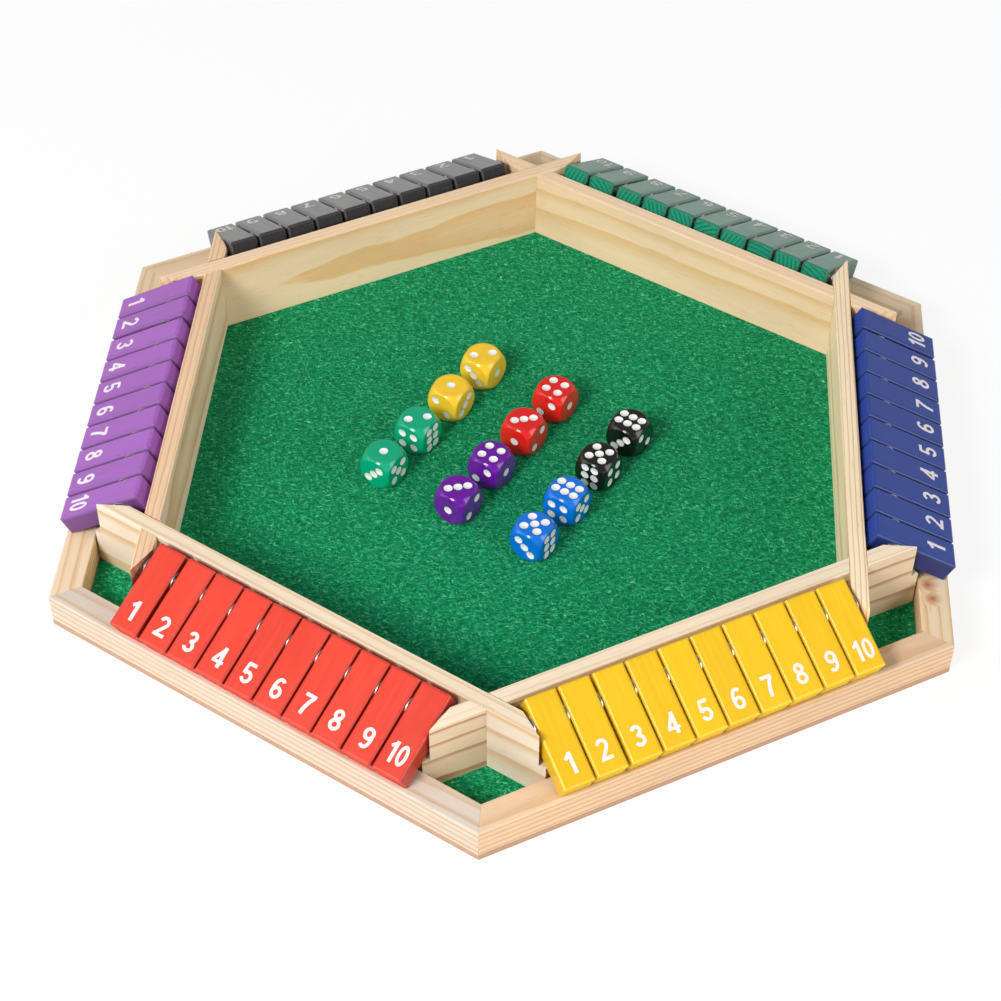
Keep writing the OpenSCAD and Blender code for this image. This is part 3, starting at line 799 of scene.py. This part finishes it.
def hexagon_grid(apothem, rings_count):
    """The points of a flat hexagon, its sides looking out at 0, 60 ... degrees, ring by ring."""
    angles = [math.radians(30 + 60 * i) for i in range(6)]
    corners = np.array([[math.cos(a), math.sin(a)] for a in angles]) * (apothem / math.cos(math.pi / 6))
    points = [np.zeros((1, 2))]
    for r in range(1, rings_count + 1):
        share = np.arange(r)[:, None] / r
        for i in range(6):
            points.append((corners[i] * (1 - share) + corners[(i + 1) % 6] * share) * r / rings_count)
    return np.concatenate(points)


def ring_faces(rings_count):
    """Triangles between one ring of the hexagon and the next."""
    faces = []
    start_before, start = 0, 1
    for r in range(1, rings_count + 1):
        count, before = 6 * r, max(1, 6 * (r - 1))
        for i in range(6):
            for j in range(r):
                a, b = start + i * r + j, start + (i * r + j + 1) % count
                c = start_before + (i * (r - 1) + j) % before if r > 1 else 0
                faces.append((a, b, c))
                if j < r - 1:
                    d = start_before + (i * (r - 1) + j + 1) % before
                    faces.append((b, d, c))
        start_before, start = start, start + count
    return faces


felt_low, felt_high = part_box("felt_mat")
FELT_APOTHEM = felt_high.x
flat_points = hexagon_grid(FELT_APOTHEM, FELT_RINGS)
x, y = flat_points.T
rise = FELT_UNEVEN * (np.sin(x * 90) * np.cos(y * 70) + np.sin(x * 40 + y * 55))
felt_points = np.column_stack([flat_points, felt_high.z + rise - FELT_SUNK])
print("felt sheet of", len(felt_points), "points, from", round(felt_low.x, 4), "to", round(felt_high.x, 4))

# %% [markdown]
# The fibres are three noises, each stretched along its own direction and bent by a fourth; the
# highest of the three decides. A clumpy noise and a slow patchy one make the cloth uneven.

# %% Felt
STRANDS = ((0.25, (320, 1000, 1)), (-0.35, (350, 1100, 1)), (1.2, (480, 1000, 1)))  # direction, fineness
GREENS = [
    (0.47, rgb(0, 96, 58)), (0.56, rgb(6, 134, 85)), (0.63, rgb(40, 162, 108)),
    (0.71, rgb(112, 200, 144)), (0.81, rgb(184, 226, 178)),
]

felt_paint, tree, surface = new_material(
    "felt", Roughness=0.95, Specular_IOR_Level=0.1, Sheen_Weight=0.2, Sheen_Roughness=0.5,
    Sheen_Tint=rgb(120, 190, 140),
)
spot = object_spot(tree)
warp = add_node(tree, "TexNoise", {"Vector": spot, "Scale": 260.0, "Detail": 2.0}).outputs["Color"]
bending = {0: warp, 1: (0.0035, 0.0035, 0.0), 2: spot}
bent = add_node(tree, "VectorMath", bending, operation="MULTIPLY_ADD").outputs[0]
fibre = 0.0
for turn_by, stretch in STRANDS:
    turned = add_node(tree, "VectorRotate", {"Vector": bent, "Angle": turn_by}, rotation_type="Z_AXIS")
    strand = noise(tree, turned.outputs[0], stretch, 3.0, 0.6)
    fibre = math_node(tree, "MAXIMUM", fibre, strand)
clump = math_node(tree, "MULTIPLY_ADD", noise(tree, bent, (170, 380, 1), 3.0, 0.6), 1.0, 0.38)
patch = math_node(tree, "MULTIPLY_ADD", noise(tree, spot, (60, 110, 1), 3.0), 0.30, clump)
feed(tree, surface, Base_Color=dimmed(tree, ramp(tree, fibre, GREENS), patch),
     Normal=relief(tree, fibre, 0.9, 0.0006))
felt = build("felt_cloth", felt_points, ring_faces(FELT_RINGS), felt_paint, "board", "felt", smooth=True)
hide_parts("felt_mat")

# %% [markdown]
# ## Steel
#
# The rods, the washers between the tiles and the screws are bright drawn steel: a clear metal with
# fine lines and a slightly uneven shine.

# %% Steel
steel, tree, surface = new_material("steel", Metallic=1.0)
inputs = {"Vector": object_spot(tree), "Scale": 900.0, "Detail": 3.0}
drawn = add_node(tree, "TexNoise", inputs).outputs["Fac"]
feed(tree, surface, Roughness=math_node(tree, "MULTIPLY_ADD", drawn, 0.3, 0.22),
     Base_Color=ramp(tree, drawn, [(0.3, rgb(198, 196, 196)), (0.7, rgb(236, 236, 238))]))
for name in ("pivot_rods", "spacer_washers", "base_screws"):
    dress(nodes[name], steel)
print("steel parts")

# %% [markdown]
# ## Dice
#
# The dice are cast plastic with polished faces, rounded to a ball at the corners, and each spot is a
# shallow dish filled with white. The dish is in the solid already; the white is a thin cap that lies
# in it.

# %% Dice plastic
DICE = {
    "yellow": rgb(254, 208, 50),
    "green": rgb(0, 172, 128),
    "red": rgb(232, 30, 28),
    "purple": rgb(108, 8, 162),
    "black": rgb(18, 17, 18),
    "blue": rgb(0, 118, 228),
}
SOFTENED = 0.0016  # the radius, in metres, over which the creases between the faces are smoothed
for colour_name, colour in DICE.items():
    plastic, tree, surface = new_material(
        "plastic_" + colour_name, Specular_IOR_Level=0.5, Coat_Weight=0.4, Coat_Roughness=0.06,
    )
    swirl = noise(tree, object_spot(tree), (260, 260, 260), 3.0)
    soft = add_node(tree, "Bevel", {"Radius": SOFTENED}, samples=6).outputs[0]
    feed(tree, surface, Base_Color=ramp(tree, swirl, [(0.3, scaled(colour, 0.92)), (0.7, colour)]),
         Roughness=math_node(tree, "MULTIPLY_ADD", swirl, 0.12, 0.14),
         Normal=relief(tree, swirl, 0.05, 0.0001, Normal=soft))
    dress(nodes["dice_" + colour_name], plastic)
print("dice plastic")

# %% [markdown]
# The white spots fill the dishes of the dice. A dish is part of a ball that is pressed in to a depth,
# and its white is the same part of the ball, a hair above the plastic, as rings of points from the
# middle to the dish's edge. Every die lists the number on its upper face and on the two faces that
# look to the front left and the front right; opposite faces add up to seven.

# %% Where the spots are
DIE_WIDE = 0.016
DIE_UP = 0.0036 + DIE_WIDE / 2 + 0.00005  # a die's middle: the felt's top, half a die and a hair
LINE_STEP, LINE_SHIFT = 0.0406, -0.0025  # from line to line of dice, and the middle line's place
DICE_FIRST, DICE_STEP = 0.038, 0.0265  # the first die of a line, and from die to die
# each die: its line, its place in it, and the number and the slant of its top, left and right faces
THROWN = {
    "yellow": [(0, 0, (2, 1), (3, -1), (1, 1)), (0, 1, (1, 1), (2, -1), (3, 1))],
    "green": [(0, 2, (2, 1), (4, 1), (6, 1)), (0, 3, (1, 1), (3, 1), (5, 1))],
    "red": [(1, 0, (4, 1), (2, 1), (1, 1)), (1, 1, (3, 1), (1, 1), (2, 1))],
    "purple": [(1, 2, (4, 1), (2, 1), (1, 1)), (1, 3, (3, 1), (1, 1), (2, 1))],
    "black": [(2, 0, (6, -1), (3, 1), (2, -1)), (2, 1, (5, 1), (6, 1), (4, 1))],
    "blue": [(2, 2, (6, -1), (4, 1), (5, 1)), (2, 3, (5, 1), (3, -1), (6, 1))],
}
# each face of a die as the directions of its own x, y and outward z, one row each
FACES = np.array([
    [(1, 0, 0), (0, 1, 0), (0, 0, 1)], [(1, 0, 0), (0, 0, 1), (0, -1, 0)],
    [(0, 1, 0), (0, 0, 1), (1, 0, 0)], [(1, 0, 0), (0, -1, 0), (0, 0, -1)],
    [(-1, 0, 0), (0, 0, 1), (0, 1, 0)], [(0, -1, 0), (0, 0, 1), (-1, 0, 0)],
])


def pip_places(n, lean):
    """Where the n spots of a face lie; lean turns the pattern as in the solid."""
    near, corner, narrow, long = (share * DIE_WIDE for share in (0.195, 0.21, 0.153, 0.29))
    if n == 6:
        return [(s, t) if lean > 0 else (t, s) for s in (-narrow, narrow) for t in (-long, 0, long)]
    places = [(-near, -near * lean), (near, near * lean)] if n in (2, 3) else []
    if n in (4, 5):
        far = near if n == 4 else corner
        places = [(x, y) for x in (-far, far) for y in (-far, far)]
    return places + ([(0, 0)] if n % 2 else [])


print("spots on", sum(map(len, THROWN.values())), "dice")

# %% Spots of the dice
PIP_WIDE, PIP_DEEP = 0.0041, 0.0005
PIP_FILL, PIP_PROUD = 0.985, 0.00003  # the white's share of the dish's width, and its height over it
PIP_MIDDLE = 0.04  # the innermost ring's share of the white's width
BOARD_TURN = math.pi / 6  # the dice's lines are turned against the board


def dish(rings_count=3, around=16):
    """Points and faces of a white spot: depth = ball - root(ball squared - r squared) - the dish's depth."""
    ball = (PIP_WIDE**2 / 4 + PIP_DEEP**2) / (2 * PIP_DEEP)
    radii = np.linspace(PIP_MIDDLE, 1, rings_count) * PIP_WIDE / 2 * PIP_FILL
    r, angle = np.meshgrid(radii, np.arange(around) * 2 * math.pi / around, indexing="ij")
    z = ball - np.sqrt(ball**2 - r**2) - PIP_DEEP + PIP_PROUD
    points = np.stack([r * np.cos(angle), r * np.sin(angle), z], axis=-1).reshape(-1, 3)
    quads = []
    for i in range(rings_count - 1):
        inner, outer = i * around, (i + 1) * around
        for j in range(around):
            following = (j + 1) % around
            quads.append((inner + j, outer + j, outer + following, inner + following))
    return points, quads + [tuple(range(around))]


spot_white, tree, surface = new_material("spot_white")
grain = noise(tree, object_spot(tree), (700, 700, 700), 2.0)
feed(tree, surface, Base_Color=ramp(tree, grain, [(0.3, rgb(236, 236, 234)), (0.7, rgb(250, 250, 249))]),
     Roughness=math_node(tree, "MULTIPLY_ADD", grain, 0.15, 0.25))
c, s = math.cos(BOARD_TURN), math.sin(BOARD_TURN)
turn = np.array([[c, -s, 0], [s, c, 0], [0, 0, 1]])
dish_points, dish_faces = dish()
for colour_name, thrown in THROWN.items():
    spots = []
    for line, place, *front in thrown:
        centre = np.array([(line - 1) * LINE_STEP + LINE_SHIFT, DICE_FIRST - place * DICE_STEP, DIE_UP])
        shown = front + [(7 - value, 1) for value, _ in front]
        for (value, lean), axes in zip(shown, FACES):
            for x, y in pip_places(value, lean):
                local = dish_points + (x, y, DIE_WIDE / 2)
                spots.append(((local @ axes + centre) @ turn, dish_faces))
    build("spots_" + colour_name, *merged(spots), spot_white, f"dice_{colour_name}_pair", smooth=True)
print("spots of twelve dice")
